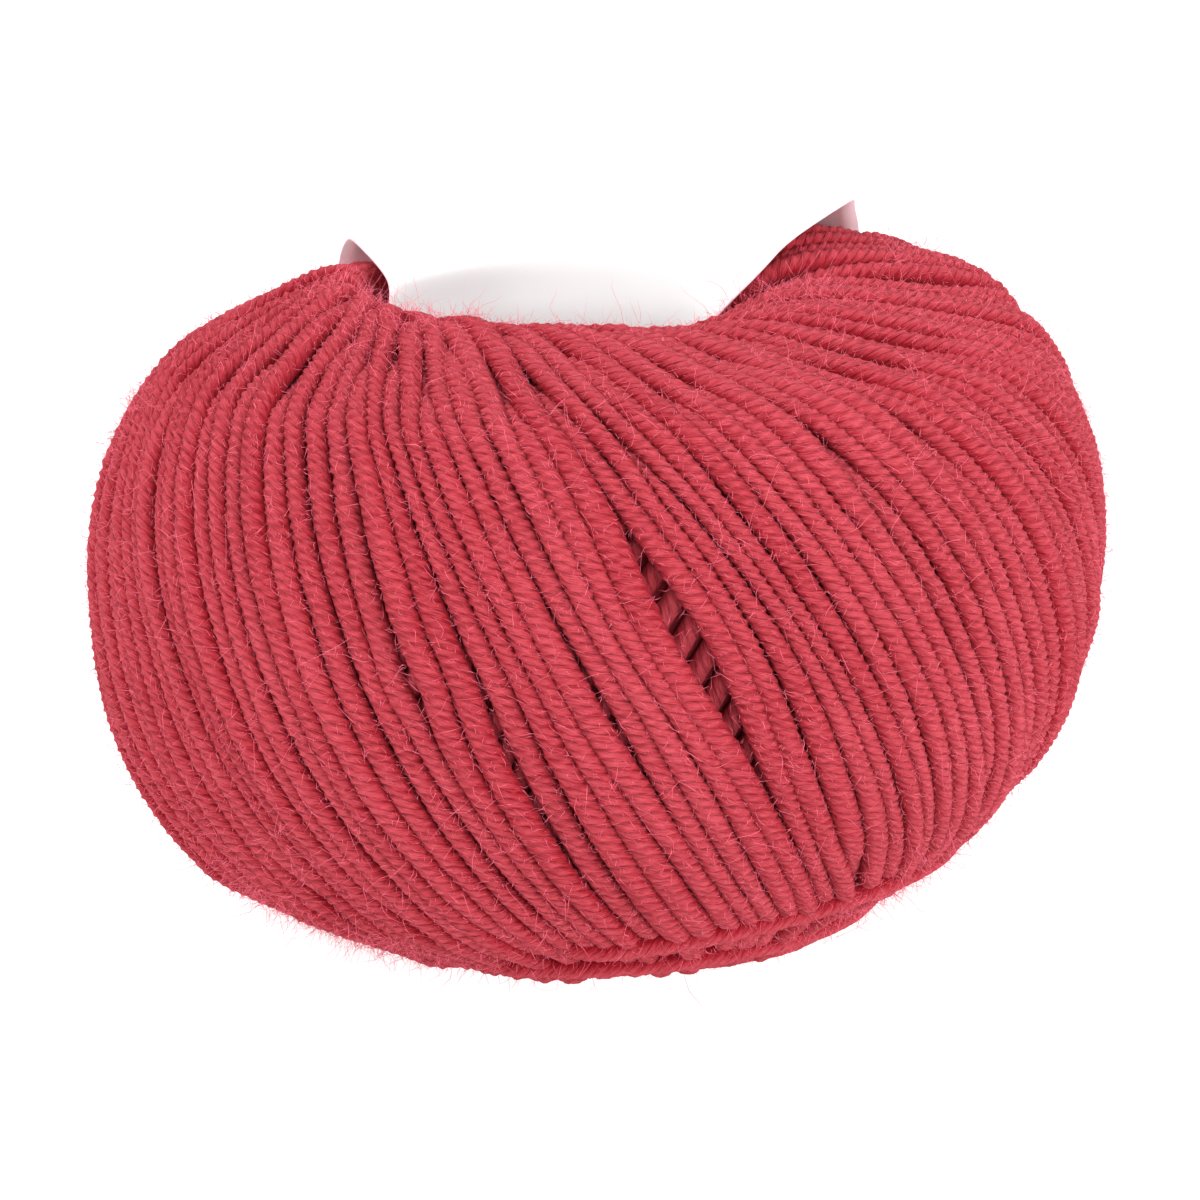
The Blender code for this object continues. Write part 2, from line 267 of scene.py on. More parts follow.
def leaned(unit):
    """Unit vectors about the winding axis, turned to the ball's own upright."""
    right, front = math.radians(AXIS_LEAN_RIGHT), math.radians(AXIS_LEAN_FRONT)
    about_y = np.array(
        ((math.cos(right), 0, math.sin(right)), (0, 1, 0), (-math.sin(right), 0, math.cos(right)))
    )
    about_x = np.array(
        ((1, 0, 0), (0, math.cos(front), -math.sin(front)), (0, math.sin(front), math.cos(front)))
    )
    return unit @ (about_y @ about_x).T


def swelling(unit):
    """Height of the soft lumps at each unit vector, as a share of the ball's radius."""
    total = np.zeros(unit.shape[:-1])
    for lump in rows_of(LUMPS, LUMP_COLUMNS):
        apart = 1.0 - unit @ direction(lump["azimuth"], lump["latitude"])
        total += lump["height"] / 0.045 * np.exp(-apart / math.radians(lump["spread"]) ** 2)
    return total


def floor_under(x, y):
    """Height of what the yarn is pressed on, which is the band at the back."""
    behind = smooth_step((y - BAND_ROOM_START) / (BAND_ROOM_END - BAND_ROOM_START))
    beside = smooth_step((BAND_ROOM_HALF - np.abs(x)) / BAND_ROOM_EDGE)
    return BAND_ROOM * behind * beside


def ball_surface(polar, azimuth):
    """Points on the wound form, pressed onto the floor.

    A unit vector is scaled to a squared-off ellipsoid, drawn in to the throat's oval
    near each hole, sunk into the funnel there, and sloped up to the right.
    """
    polar, azimuth = np.broadcast_arrays(polar, azimuth)
    least = math.radians(THROAT_ANGLE + THROAT_MARGIN)
    polar = np.clip(polar, least, math.pi - least)
    sine, cosine = np.sin(polar), np.cos(polar)
    unit = leaned(np.stack((sine * np.cos(azimuth), sine * np.sin(azimuth), cosine), -1))
    flat, height = np.hypot(unit[..., 0], unit[..., 1]), unit[..., 2]
    power = np.where(height > 0, UPPER_FULLNESS, LOWER_FULLNESS)
    radius = (flat**power + np.abs(height) ** power) ** (-1.0 / power) + swelling(unit)
    x = BALL_HALF_WIDTH * unit[..., 0] * radius
    y = BALL_HALF_DEPTH * unit[..., 1] * radius
    z = BALL_HALF_HEIGHT * height * radius

    from_axis = np.degrees(np.minimum(polar, math.pi - polar))
    drawn = smooth_step((THROAT_BLEND_ANGLE - from_axis) / (THROAT_BLEND_ANGLE - THROAT_ANGLE))
    throat_x = np.where(cosine > 0, TOP_THROAT_X, BOTTOM_THROAT_X)
    x = x + drawn * (throat_x + THROAT_HALF_LENGTH * np.cos(azimuth) - x)
    y = y + drawn * (THROAT_HALF_WIDTH * np.sin(azimuth) - y)

    share = np.clip((RIM_ANGLE - from_axis) / (RIM_ANGLE - THROAT_ANGLE), 0.0, 1.0)
    z = z + SLOPE_RIGHT * x - np.sign(cosine) * FUNNEL_DEPTH * share**FUNNEL_POWER
    settled = smooth_step((np.degrees(polar) - SETTLE_START) / (SETTLE_END - SETTLE_START))
    fall = SETTLE_RIGHT * (x - SETTLE_FROM[0]) + SETTLE_BACK * (y - SETTLE_FROM[1])
    z = z - settled * fall
    points = np.stack((x, y, z), -1) + np.array(BALL_CENTRE)
    points[..., 2] = np.maximum(points[..., 2], floor_under(points[..., 0], points[..., 1]))
    return points


def surface_normals(polar, azimuth):
    """Outward unit normals: the cross product of the surface's two slopes."""
    least = math.radians(THROAT_ANGLE + 2.0 * THROAT_MARGIN)
    polar = np.clip(polar, least, math.pi - least)
    step = math.radians(0.25)
    down = ball_surface(polar + step, azimuth) - ball_surface(polar - step, azimuth)
    round_ = ball_surface(polar, azimuth + step) - ball_surface(polar, azimuth - step)
    return normalised(np.cross(down, round_))


def winding_place(phase, swing, slant=1.0):
    """Polar angle and azimuth on a tilted great circle.

    The latitude's sine is the swing's sine times the tilt's cosine, and the azimuth
    falls back from the phase as the strand rises. slant -1 leans it the other way.
    """
    tilt = math.radians(WINDING_TILT)
    latitude = np.arcsin(np.sin(swing) * math.cos(tilt))
    turn = np.arctan2(math.sin(tilt) * np.sin(swing), np.cos(swing))
    return 0.5 * math.pi - latitude, phase - slant * turn


def even_swing(count, furthest):
    """Swings from -furthest to furthest, an even length apart along an average strand."""
    fine = np.linspace(-furthest, furthest, 721)
    phase = np.linspace(0.0, 2.0 * math.pi, 24, endpoint=False)[:, None]
    points = ball_surface(*winding_place(phase, fine[None, :]))
    steps = np.linalg.norm(np.diff(points, axis=1), axis=2).mean(axis=0)
    length = np.concatenate(((0.0,), np.cumsum(steps)))
    return np.interp(np.linspace(0.0, length[-1], count), length, fine)


def scattered_rank(count, random):
    """A number from 0 to 1 for each strand, spread so that neighbours differ.

    It is the strand's number with its bits in reverse order, and a little at random.
    """
    bits = np.arange(count)[:, None] >> np.arange(7) & 1
    rank = (bits / 2.0 ** np.arange(1, 8)).sum(axis=1)
    return rank + random.uniform(-0.06, 0.06, count)


def wander(count, swing, random):
    """How far each strand strays sideways, in strand spacings.

    Slow waves shared by neighbours, and smaller, quicker ones of each strand's own.
    """
    number = np.arange(count)[:, None] * (2.0 * math.pi / count)
    swing = swing[None, :]
    shared = np.zeros((count, swing.shape[1]))
    for wave in rows_of(WANDER, WANDER_COLUMNS):
        place = wave["around"] * number + wave["along"] * swing
        shared += wave["size"] * np.sin(place + random.uniform(0, ANY_PHASE))
    own = sum(
        size * np.sin(often * swing + random.uniform(0, ANY_PHASE, (count, 1)))
        for often, size in OWN_WANDER
    )
    return shared + (own + random.normal(0.0, OWN_SHIFT, (count, 1)))


def parted(count, swing):
    """How far each strand is pushed aside by the named gaps, in strand spacings.

    Strands on either side of a gap move apart by half its opening, which fades over
    the next few strands and along the gap's length.
    """
    pushed = np.zeros((count, len(swing)))
    number, half = np.arange(count)[:, None], 0.5 * count
    for gap in rows_of(GAPS, GAP_COLUMNS):
        beside = (number - gap["after"] - 0.5 + half) % count - half
        along = np.degrees(swing)[None, :] - gap["swing"]
        fading = np.exp(-np.abs(beside) / GAP_FADING) * np.exp(-((along / gap["length"]) ** 2))
        pushed += 0.5 * gap["opening"] * np.sign(beside) * fading
    return pushed


def slope_round(values):
    """The next row's values less those of the row before, round a closed loop."""
    return np.roll(values, -1, axis=0) - np.roll(values, 1, axis=0)


def smoothed(values):
    """Each value averaged with its neighbours along a strand."""
    for _ in range(3):
        ends = np.concatenate((values[:, :1], values, values[:, -1:]), axis=1)
        values = 0.25 * ends[:, :-2] + 0.5 * ends[:, 1:-1] + 0.25 * ends[:, 2:]
    return values


def strand_frames(centres, outward):
    """Unit vectors along, across and out of each strand, and the length run so far.

    Out is what is left of the outward vectors once their share along is taken off.
    """
    along = normalised(np.gradient(centres, axis=1))
    outward = smoothed(outward)
    outward = normalised(outward - (outward * along).sum(-1, keepdims=True) * along)
    steps = np.linalg.norm(np.diff(centres, axis=1), axis=2)
    return {
        "centres": centres,
        "along": along,
        "across": np.cross(along, outward),
        "outward": outward,
        "run": np.concatenate((np.zeros((len(centres), 1)), np.cumsum(steps, axis=1)), axis=1),
    }


def outer_strands(values, random):
    """Everything that says where the outer strands lie, as a dict of arrays.

    A strand takes its share of the spacing. Where that is less than a free strand
    needs, some strands sink, and the rest move over them. A strand that is squeezed
    narrower grows higher, so that its section keeps its area.
    """
    count = values.strands
    spacing_angle = 2.0 * math.pi / count
    swing = even_swing(RINGS, math.radians(FURTHEST_SWING))
    phase = np.arange(count)[:, None] * spacing_angle
    rank = scattered_rank(count, random)[:, None]

    def laid(phase):
        place = winding_place(phase, np.broadcast_to(swing, (count, RINGS)))
        return ball_surface(*place), surface_normals(*place)

    points, _ = laid(phase)
    beside, _ = laid(phase + spacing_angle)
    along = normalised(np.gradient(points, axis=1))
    apart = beside - points
    apart = apart - (apart * along).sum(-1, keepdims=True) * along
    spacing = np.linalg.norm(apart, axis=2)

    seen_share = np.clip(spacing / FREE_SPACING, 0.02, 1.0) ** CROWDING_POWER
    sunk = smooth_step((rank - seen_share) / SINKING_RANGE + SINKING_START)
    sunk = smoothed(np.where(seen_share > 0.995, 0.0, sunk))
    sideways = wander(count, swing, random) + parted(count, swing)
    sideways = sideways + SUNK_PUSH * slope_round(sunk)
    sideways *= np.clip(spacing / FREE_SPACING, 0.0, 1.0)
    points, outward = laid(phase + spacing_angle * sideways)

    free = 0.5 * values.strand_thickness
    room = 1.0 + 0.5 * slope_round(sideways)
    room = smoothed(WIDTH_SHARE * spacing * room / seen_share)
    half_width = np.clip(room, SQUEEZED_HALF_WIDTH, WIDEST_HALF_WIDTH)
    least, greatest = LEAST_HEIGHT * free, GREATEST_HEIGHT * free
    half_height = np.clip(free * free / half_width, least, greatest)
    wave = np.sin(WAVES * swing[None, :] + random.uniform(0, ANY_PHASE, (count, 1)))
    uneven = WAVE_DEPTH * wave + random.normal(0.0, DEPTH_SPREAD, (count, 1))
    uneven = np.clip(uneven, LEAST_DEPTH, GREATEST_DEPTH)
    half_width = half_width * (1.0 - NARROWER_WITH_DEPTH * uneven)
    depth = half_height + SUNK_DEPTH * sunk + uneven
    centres = points - depth[..., None] * smoothed(outward)
    low = FLOOR_ROOM * half_height + floor_under(centres[..., 0], centres[..., 1])
    centres[..., 2] = np.maximum(centres[..., 2], low)
    made = {"half_width": half_width, "half_height": half_height, "sunk": sunk}
    return strand_frames(centres, outward) | made


def plain_strands(centres, outward, values):
    """Strands with a round section, as thick as one that lies free."""
    half = np.full(centres.shape[:2], 0.5 * values.strand_thickness)
    return strand_frames(centres, outward) | {"half_width": half, "half_height": half}


def foot_strands(values):
    """The strands round the foot, laid on the wound form at a nearly even polar angle.

    The angle sways as a sine of the azimuth. Each end dives under the other strands.
    """
    rows = dict(zip(FOOT_COLUMNS, np.array(FOOT).T[..., None]))
    share = np.linspace(0.0, 1.0, FOOT_RINGS)[None, :]
    azimuth = np.radians(rows["start"] + (rows["end"] - rows["start"]) * share)
    polar = np.radians(rows["polar"] + rows["sway"] * np.sin(2.0 * azimuth + rows["phase"]))
    half = 0.5 * values.strand_thickness
    risen = smooth_step(share / FOOT_END_SHARE) * smooth_step((1.0 - share) / FOOT_END_SHARE)
    outward = smoothed(surface_normals(polar, azimuth))
    height = rows["lift"] - half - FOOT_END_DEPTH * (1.0 - risen)
    centres = ball_surface(polar, azimuth) + height[..., None] * outward
    centres[..., 2] = np.maximum(centres[..., 2], FLOOR_ROOM * half)
    return plain_strands(centres, outward, values)


def crossing_strands(values, random):
    """The layer below: tilted great circles that slant the other way, sunk under the outer."""
    count = values.crossing_strands
    swing = even_swing(CROSSING_RINGS, math.radians(CROSSING_SWING))
    number = np.arange(count)[:, None] + CROSSING_WANDER * wander(count, swing, random)
    phase = number * (2.0 * math.pi / count)
    polar, azimuth = winding_place(phase, swing[None, :], slant=-1.0)
    outward = smoothed(surface_normals(polar, azimuth))
    depth = CROSSING_DEPTH + random.normal(0.0, CROSSING_SPREAD, (count, 1))
    centres = ball_surface(polar, azimuth) - depth[..., None] * outward
    low = CROSSING_FLOOR + floor_under(centres[..., 0], centres[..., 1])
    centres[..., 2] = np.maximum(centres[..., 2], low)
    return plain_strands(centres, outward, values)


def lining_strands(values, random):
    """The lining: rings of yarn just behind the throat's oval, one above the other.

    Each is tilted a little, by a cosine of the angle round it.
    """
    bottom, top = ball_surface(np.array((math.pi - THROAT_END, THROAT_END)), np.zeros(2))[:, 2]
    each = (LINING_STRANDS, 1)
    around = np.linspace(0.0, 2.0 * math.pi, LINING_RINGS)[None, :]
    level = np.linspace(bottom, top, LINING_STRANDS)[:, None]
    level = level + random.normal(0.0, LINING_LEVEL_SPREAD, each)
    middle = np.linspace(BOTTOM_THROAT_X, TOP_THROAT_X, LINING_STRANDS)[:, None]
    behind = LINING_DEPTH + random.normal(0.0, LINING_SPREAD, each)
    tilt = random.uniform(*LINING_TILTS, each)
    tilt = tilt * np.cos(around - random.uniform(0, ANY_PHASE, each))
    x = middle + (THROAT_HALF_LENGTH + behind) * np.cos(around) + BALL_CENTRE[0]
    y = (THROAT_HALF_WIDTH + behind) * np.sin(around) + BALL_CENTRE[1]
    centres = np.stack((x, y, level + tilt), -1)
    inward = np.stack((-np.cos(around), -np.sin(around), 0.0 * around), -1)
    return plain_strands(centres, np.broadcast_to(inward, centres.shape), values)


def core_points():
    """A closed ring of rows: the wound form shrunk by a depth, and a wall down its hole."""
    polar = np.linspace(THROAT_END, math.pi - THROAT_END, CORE_ROWS)[:, None]
    azimuth = (np.arange(CORE_COLUMNS) * (2.0 * math.pi / CORE_COLUMNS))[None, :]
    polar, azimuth = np.broadcast_arrays(polar, azimuth)
    outside = ball_surface(polar, azimuth) - CORE_DEPTH * surface_normals(polar, azimuth)
    outside[..., 2] = np.maximum(outside[..., 2], CORE_FLOOR)
    share = np.linspace(0.0, 1.0, CORE_WALL_ROWS + 2)[1:-1, None, None]
    wall = outside[-1] + (outside[0] - outside[-1]) * share
    return np.concatenate((outside, wall))


def fibre_roots(laid, kind, count, random):
    """Where loose fibres leave the strands: the places, and the ways along and out there.

    Roots are drawn at random over the outer sides of the strands, more thickly near
    the tufts, and none where the strand is sunk, under the band or on the floor.
    """
    tries = FIBRE_TRIES * count
    strands, rings = laid["run"].shape
    strand = random.integers(0, strands, tries)
    ring = random.integers(4, rings - 4, tries)
    angle = math.pi * random.uniform(0.04, 0.96, tries)
    picked = {name: array[strand, ring] for name, array in laid.items()}
    cosine, sine = np.cos(angle), np.sin(angle)
    out = cosine[:, None] * picked["across"] + sine[:, None] * picked["outward"]
    wide = FIBRE_ROOT * (picked["half_width"] * cosine)[:, None] * picked["across"]
    high = FIBRE_ROOT * (picked["half_height"] * sine)[:, None] * picked["outward"]
    root = picked["centres"] + wide + high
    weight = np.full(tries, BARE_WEIGHT)
    for tuft in rows_of(TUFTS, TUFT_COLUMNS):
        away = np.linalg.norm(root - np.array(tuft["place"]), axis=1)
        weight += kind["tufts"] * tuft["gain"] * np.exp(-((away / tuft["spread"]) ** 2))
    shown = (picked["sunk"] < 0.4) & (root[:, 2] > FUZZ_OVER_FLOOR)
    shown &= ~((np.abs(root[:, 0]) < FUZZ_BESIDE_BAND) & (root[:, 1] > FUZZ_BEFORE_BAND))
    shown &= random.uniform(0.0, 1.0, tries) < weight
    chosen = np.flatnonzero(shown)[:count]
    return root[chosen], picked["along"][chosen], out[chosen]


def fibre_lines(root, along, out, kind, length, random):
    """Curved lines of loose fibres: a sum of powers of the share run, and a small wave."""
    count = len(root)
    long = length * kind["length"] * random.lognormal(-0.15, kind["variation"], (count, 1, 1))
    long = np.minimum(long, LONGEST_FIBRE)
    way = kind["along"] * random.normal(0.0, 1.0, (count, 1)) * along
    start = normalised(way + kind["out"] * out + random.normal(0, 0.45, (count, 3)))
    curl = normalised(kind["lift"] * out + random.normal(0, 0.8, (count, 3)))
    sweep = random.normal(0, 0.7, (count, 3))
    wave = np.cross(start, random.normal(0, 1.0, (count, 3)))
    straight, bent, swept, waved = FIBRE_CURVE
    t = np.linspace(0.0, 1.0, kind["points"])[None, :, None]
    line = straight * t * start[:, None] + bent * t**2 * curl[:, None]
    line = line + swept * t**3 * sweep[:, None]
    often = random.uniform(*FIBRE_WAVES, (count, 1, 1))
    line = root[:, None] + long * (line + waved * np.sin(often * t) * wave[:, None])
    line[..., 2] = np.maximum(line[..., 2], 0.0001)
    return line


# ---- Meshes
def mesh_object(name, points, loops, starts, uv=None, tone=None):
    """A mesh object from points, the corners of its faces and where each face starts."""
    mesh = bpy.data.meshes.new(name)
    mesh.vertices.add(len(points))
    mesh.vertices.foreach_set("co", np.asarray(points, np.float32).ravel())
    mesh.loops.add(len(loops))
    mesh.loops.foreach_set("vertex_index", np.asarray(loops, np.int32))
    mesh.polygons.add(len(starts))
    mesh.polygons.foreach_set("loop_start", np.asarray(starts, np.int32))
    mesh.update(calc_edges=True)
    if uv is not None:
        layer = mesh.uv_layers.new(name="UVMap")
        layer.data.foreach_set("uv", np.asarray(uv, np.float32).ravel())
    if tone is not None:
        attribute = mesh.attributes.new("tone", "FLOAT", "POINT")
        attribute.data.foreach_set("value", np.asarray(tone, np.float32))
    mesh.shade_smooth()
    made = bpy.data.objects.new(name, mesh)
    bpy.context.scene.collection.objects.link(made)
    return made


def tube_faces(rings, around):
    """Corners of the faces of one closed tube, and the column and ring of each corner.

    Points are numbered ring by ring, then come the tube's two end points. It returns
    the quads and the fans of triangles that close the ends.
    """
    ring, column = np.indices((rings - 1, around)).reshape(2, -1, 1)
    quad_rings, quad_columns = ring + (0, 0, 1, 1), column + (0, 1, 1, 0)
    quads = quad_rings * around + quad_columns % around

    column, last = np.arange(around)[:, None], rings - 1
    start_columns, end_columns = column + (0, 1, 0), column + (0, 0, 1)
    start_fan = start_columns % around
    start_fan[:, 0] = rings * around
    end_fan = last * around + end_columns % around
    end_fan[:, 0] = rings * around + 1
    fan_rings = np.repeat((0, last), around)[:, None] * np.ones(3, int)
    fans = np.concatenate((start_fan, end_fan))
    fan_columns = np.concatenate((start_columns, end_columns))
    return (quads, quad_columns, quad_rings), (fans, fan_columns, fan_rings)


def ply_section(tubes, rings, random, plies):
    """Radii round each ring of each tube, in which every ply swells and shrinks by itself."""
    swell = smoothed(random.normal(0.0, PLY_UNEVENNESS, (tubes, rings, plies)))
    return np.tile(PLY_SECTION, plies) * (1.0 + np.repeat(swell, len(PLY_SECTION), axis=2))


def tubes_object(
    name, laid, section, tone, turn=0.0, ply_shift=0.0, tips=None, painted_shade=PAINTED_VALLEY_SHADE
):
    """Closed tubes round centre lines, one for each row of centres.

    A point of a ring lies at an angle of its column plus the strand's turn there, at
    the section's radius times the half width across and the half height outwards.
    The UV map runs across in plies and along in millimetres. Each tube closes at its
    two tips, or at the middles of its end rings. Its tone falls towards its sides, by
    the painted shade times one minus the angle's sine: painted shade in the valleys
    between strands, where shade falls.
    """
    centres, run = laid["centres"], laid["run"]
    tubes, rings = run.shape
    section = np.asarray(section)
    around = section.shape[-1]
    turn, ply_shift = np.broadcast_to(turn, run.shape), np.broadcast_to(ply_shift, run.shape)
    angle = np.arange(around) * (2.0 * math.pi / around) + turn[..., None]
    wide = (laid["half_width"][..., None] * section * np.cos(angle))[..., None]
    high = (laid["half_height"][..., None] * section * np.sin(angle))[..., None]
    wide, high = wide * laid["across"][:, :, None], high * laid["outward"][:, :, None]
    points = centres[:, :, None] + wide + high
    ends = centres[:, (0, -1)] if tips is None else tips
    points = np.concatenate((points.reshape(tubes, -1, 3), ends), axis=1).reshape(-1, 3)
    # Painted shade: the tone drops towards the strand's sides, where shade falls between strands
    valley_painted_shade = painted_shade * np.minimum(1.0 - np.sin(angle), PAINTED_SHADE_CAP)
    tone = np.reshape(tone, (tubes, 1, 1)) - valley_painted_shade
    tone = np.concatenate((tone.reshape(tubes, -1), tone[:, (0, -1), 0]), axis=1).ravel()

    each = (rings * around + 2) * np.arange(tubes)[:, None]
    plies_each = ball_settings().plies / around
    loops, uv, sizes = [], [], []
    for corners, columns, ring_of in tube_faces(rings, around):
        loops.append(corners.ravel() + each)
        plies = columns * plies_each + ply_shift[:, ring_of]
        uv.append(np.stack((plies, run[:, ring_of] * 1000.0), -1).reshape(tubes, -1, 2))
        sizes.append(np.full(len(corners), corners.shape[1]))
    sizes = np.tile(np.concatenate(sizes), tubes)
    starts = np.concatenate(((0,), np.cumsum(sizes)[:-1]))
    loops, uv = np.concatenate(loops, axis=1).ravel(), np.concatenate(uv, axis=1).reshape(-1, 2)
    return mesh_object(name, points, loops, starts, uv, tone)


def grid_object(name, points, wrap_rows, wrap_columns):
    """A mesh object of four-sided faces over a grid of points."""
    rows, columns = points.shape[:2]
    index = np.arange(rows * columns).reshape(rows, columns)
    if wrap_rows:
        index = np.concatenate((index, index[:1]), 0)
    if wrap_columns:
        index = np.concatenate((index, index[:, :1]), 1)
    corners = (index[:-1, :-1], index[1:, :-1], index[1:, 1:], index[:-1, 1:])
    faces = np.stack(corners, -1).reshape(-1, 4)
    return mesh_object(name, points.reshape(-1, 3), faces.ravel(), np.arange(len(faces)) * 4)


# ---- Materials
def fill(tree, made, sockets):
    """Gives a node's sockets their values or links."""
    for socket, value in sockets:
        if isinstance(value, bpy.types.NodeSocket):
            tree.links.new(value, made.inputs[socket])
        else:
            made.inputs[socket].default_value = value


def node(tree, kind, sockets=(), **values):
    """Adds a node, sets its properties, and fills its sockets with values or links."""
    made = tree.nodes.new(kind)
    for name, value in values.items():
        setattr(made, name, value)
    fill(tree, made, sockets)
    return made


def new_material(name):
    """A material, its node tree and its shader."""
    made = bpy.data.materials.new(name)
    made.use_nodes = True
    return made, made.node_tree, made.node_tree.nodes["Principled BSDF"]


def shade(colour, factor=1.0):
    """A colour times a factor, with an alpha of 1."""
    return tuple(c * factor for c in colour[:3]) + (1.0,)


def ranged(tree, value, from_range, to_range):
    """A value taken from one range to another, held at its ends."""
    sockets = enumerate((value, *from_range, *to_range))
    return node(tree, "ShaderNodeMapRange", sockets).outputs[0]


def calculated(tree, operation, *values):
    """The output of a math node."""
    return node(tree, "ShaderNodeMath", enumerate(values), operation=operation).outputs[0]


def blended(tree, factor, first, second):
    """One colour where the factor is 0 and another where it is 1."""
    sockets = [("Factor", factor), ("A", first), ("B", second)]
    return node(tree, "ShaderNodeMix", sockets, data_type="RGBA").outputs["Result"]


def noise(tree, place, scale, detail):
    """Soft noise through space."""
    sockets = [("Vector", place), ("Scale", scale), ("Detail", detail)]
    return node(tree, "ShaderNodeTexNoise", sockets).outputs["Fac"]


def bumps(tree, height, distance, strength):
    """Normals of a surface raised by a height."""
    sockets = [("Strength", strength), ("Distance", distance), ("Height", height)]
    return node(tree, "ShaderNodeBump", sockets).outputs["Normal"]


def streaks(tree, uv, across, along, detail):
    """Noise drawn out along the plies: so many streaks a ply and a millimetre."""
    stretched = node(tree, "ShaderNodeMapping", [("Vector", uv), ("Scale", (across, along, 1.0))])
    sockets = [("Vector", stretched.outputs["Vector"]), ("Scale", 1.0)]
    sockets += [("Detail", detail), ("Roughness", 0.6)]
    return node(tree, "ShaderNodeTexNoise", sockets, noise_dimensions="2D").outputs["Fac"]


def wool_material(name, values, painted_darkening=1.0):
    """Plied wool: soft uneven plies with fibres along them, with painted shade between the plies
    and painted light on their crowns.
    """
    made, tree, shader = new_material(name)
    uv = node(tree, "ShaderNodeUVMap", uv_map="UVMap").outputs["UV"]
    lumps = streaks(tree, uv, 1.1, 0.9, 2.0)
    fine = streaks(tree, uv, 9.0, 1.5, 3.0)
    coarse = streaks(tree, uv, 3.0, 0.8, 3.0)

    # A ply's crown is half a sine across it, with its edges wandering a little
    ply = node(tree, "ShaderNodeSeparateXYZ", [("Vector", uv)]).outputs["X"]
    ply = calculated(tree, "ADD", ply, ranged(tree, lumps, (0.25, 0.75), (-0.16, 0.16)))
    across = calculated(tree, "MULTIPLY", calculated(tree, "FRACT", ply), math.pi)
    crown = calculated(tree, "POWER", calculated(tree, "SINE", across), 0.45)
    crown = calculated(tree, "MULTIPLY", crown, ranged(tree, coarse, MIDDLING, (0.70, 1.0)))

    # The tone is the sum of the strand's own, which holds the painted shade between strands, and of
    # what the crown and three noises add. The crown's share is painted shade between the plies and
    # painted light on their crowns
    place = node(tree, "ShaderNodeTexCoord").outputs["Object"]
    own = node(tree, "ShaderNodeAttribute", attribute_name="tone", attribute_type="GEOMETRY")
    tone = own.outputs["Fac"]
    for value, held, tones in (
        (crown, (0.0, 1.0), PLY_PAINTED_SHADING),
        (fine, MIDDLING, FINE_TONES),
        (coarse, MIDDLING, COARSE_TONES),
        (noise(tree, place, 90.0, 2.0), MIDDLING, PATCH_TONES),
    ):
        tone = calculated(tree, "ADD", tone, ranged(tree, value, held, tones))

    # The factor is painted shade: wool further in, under the outer strands, is made darker as a
    # whole
    dark, light = shade(values.wool_dark_and_painted_shade, painted_darkening), shade(values.wool_light, painted_darkening)
    height = calculated(tree, "MULTIPLY_ADD", fine, 0.55, crown)
    height = calculated(tree, "MULTIPLY_ADD", coarse, 0.5, height)
    sockets = [
        ("Base Color", blended(tree, tone, dark, light)),
        ("Normal", bumps(tree, height, 0.00021, 1.0)),
        ("Roughness", 0.95),
        ("Specular IOR Level", 0.08),
        ("Sheen Weight", 0.12),
        ("Sheen Roughness", 0.5),
        ("Sheen Tint", (1.0, 0.35, 0.42, 1.0)),
    ]
    fill(tree, shader, sockets)
    return made


def fibre_material(colour):
    """Loose wool fibres, lighter than the yarn because light passes round them."""
    made, tree, shader = new_material("wool_fibre")
    sockets = [("Base Color", shade(colour)), ("Roughness", 0.8), ("Specular IOR Level", 0.1)]
    fill(tree, shader, sockets)
    return made


def paper_material(name, colour, through):
    """Smooth uncoated paper with a faint grain, which lets a share of the light through."""
    made, tree, shader = new_material(name)
    place = node(tree, "ShaderNodeTexCoord").outputs["Object"]
    grain, mottle = noise(tree, place, 1800.0, 3.0), noise(tree, place, 160.0, 2.0)
    sockets = [
        ("Base Color", blended(tree, mottle, shade(colour, 0.985), shade(colour))),
        ("Normal", bumps(tree, grain, 0.00002, 0.25)),
        ("Roughness", 0.62),
        ("Subsurface Weight", through),
        ("Subsurface Radius", (1.0, 1.0, 1.0)),
        ("Subsurface Scale", 0.0006),
    ]
    fill(tree, shader, sockets)
    return made


# ---- The band
def closed_curve(values, count):
    """Catmull-Rom curve through the rows of a closed loop, sampled evenly by row."""
    values = np.asarray(values, float)
    place = np.arange(count) * (len(values) / count)
    whole = np.floor(place).astype(int)
    t = (place - whole)[:, None]
    before, start, end, after = (values[(whole + k) % len(values)] for k in (-1, 0, 1, 2))
    return 0.5 * (
        2 * start
        + (end - before) * t
        + (2 * before - 5 * start + 4 * end - after) * t**2
        + (3 * start - before - 3 * end + after) * t**3
    )


def paper_surface(steps, across):
    """Points of the band's middle surface, one row for each step round its loop.

    Across the band x runs as the sine of a bend angle and y as its cosine, so the
    sheet goes from nearly straight, where the bend is small, to a half oval.
    """
    stations = dict(zip(PAPER_COLUMNS, closed_curve(PAPER_LOOP, steps).T[..., None]))
    across = np.linspace(-1.0, 1.0, across + 1)[None, :]
    bend = 0.5 * math.pi * np.maximum(stations["curl"], 0.02)
    x = stations["half_width"] * np.sin(bend * across) / np.sin(bend)
    forward = (1.0 - np.cos(bend * across)) / (1.0 - np.cos(bend))
    y = stations["y"] - stations["bow"] * forward
    z = stations["z"] + PAPER_SLOPE * stations["slope"] * x + stations["rise"] * across**2
    return np.stack((x + stations["centre_x"] + BALL_CENTRE[0], y + BALL_CENTRE[1], z), -1)


